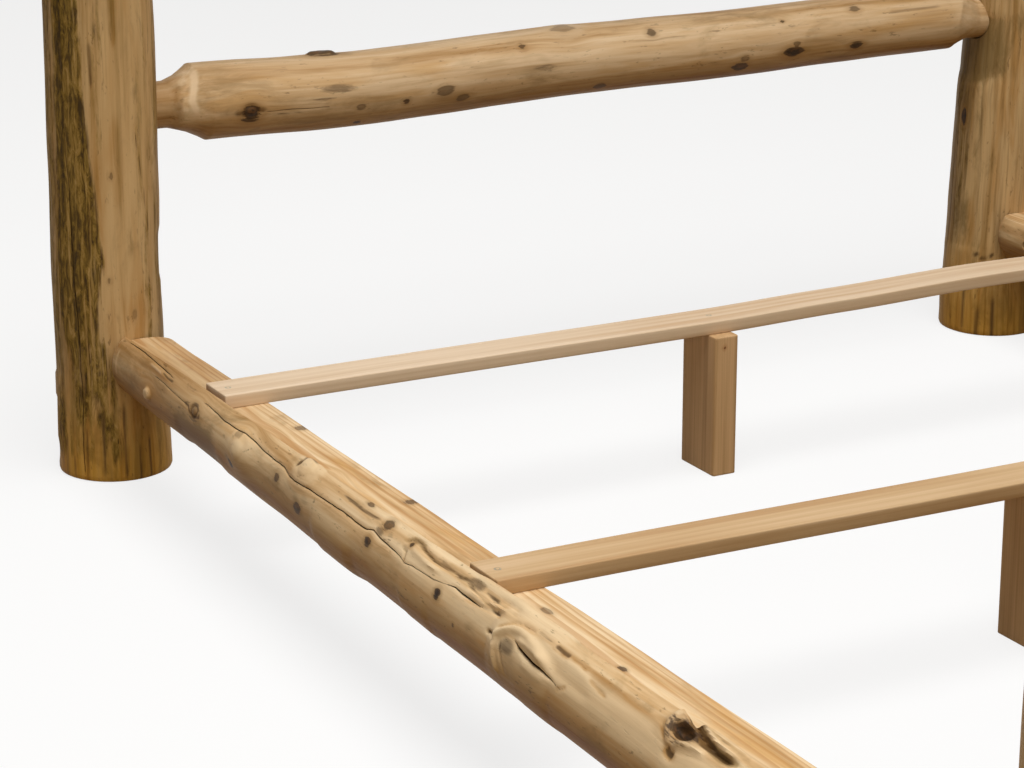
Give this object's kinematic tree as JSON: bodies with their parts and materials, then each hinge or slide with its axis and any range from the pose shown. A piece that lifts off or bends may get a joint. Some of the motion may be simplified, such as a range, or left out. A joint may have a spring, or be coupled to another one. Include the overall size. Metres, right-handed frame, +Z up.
{
  "type": "log bed",
  "caption": "Queen-size bed frame of peeled logs: round posts, tenoned cross rails, side rails with a sawn slat ledge, and board slats on centre legs.",
  "frame": {"origin": "on the floor, under the middle of the bed", "axes": "+X across the bed to the right seen from the foot, +Y from the foot towards the headboard, +Z up"},
  "size_m": [1.7359, 2.408, 1.27],
  "materials": {
    "post_log": "peeled pine log, clear lacquer, weathered inner bark left in strips",
    "cross_rail_log": "peeled pine log, clear lacquer",
    "side_rail_log": "peeled pine log, clear lacquer, sawn ledge",
    "planed_board": "planed softwood board, unfinished",
    "leg_stock": "planed two-by-four, unfinished",
    "screw_steel": "zinc-plated",
    "bolt_steel": "zinc-plated"
  },
  "bodies": {
    "root": {"headboard_post_left": "post_log", "headboard_post_right": "post_log", "footboard_post_left": "post_log", "footboard_post_right": "post_log", "headboard_rail_lower": "cross_rail_log", "headboard_rail_middle": "cross_rail_log", "headboard_rail_top": "cross_rail_log", "footboard_rail_lower": "cross_rail_log", "footboard_rail_top": "cross_rail_log", "side_rail_left": "side_rail_log", "side_rail_right": "side_rail_log", "slat_head": "planed_board", "slat_middle": "planed_board", "slat_foot": "planed_board", "slat_leg_head": "leg_stock", "slat_leg_middle": "leg_stock", "slat_leg_foot": "leg_stock", "slat_screws": "screw_steel", "leg_screws": "screw_steel", "tenon_screws": "screw_steel", "bed_bolts": "bolt_steel", "bed_bolt_washers": "bolt_steel", "barrel_nuts": "bolt_steel"}
  },
  "joints": []
}
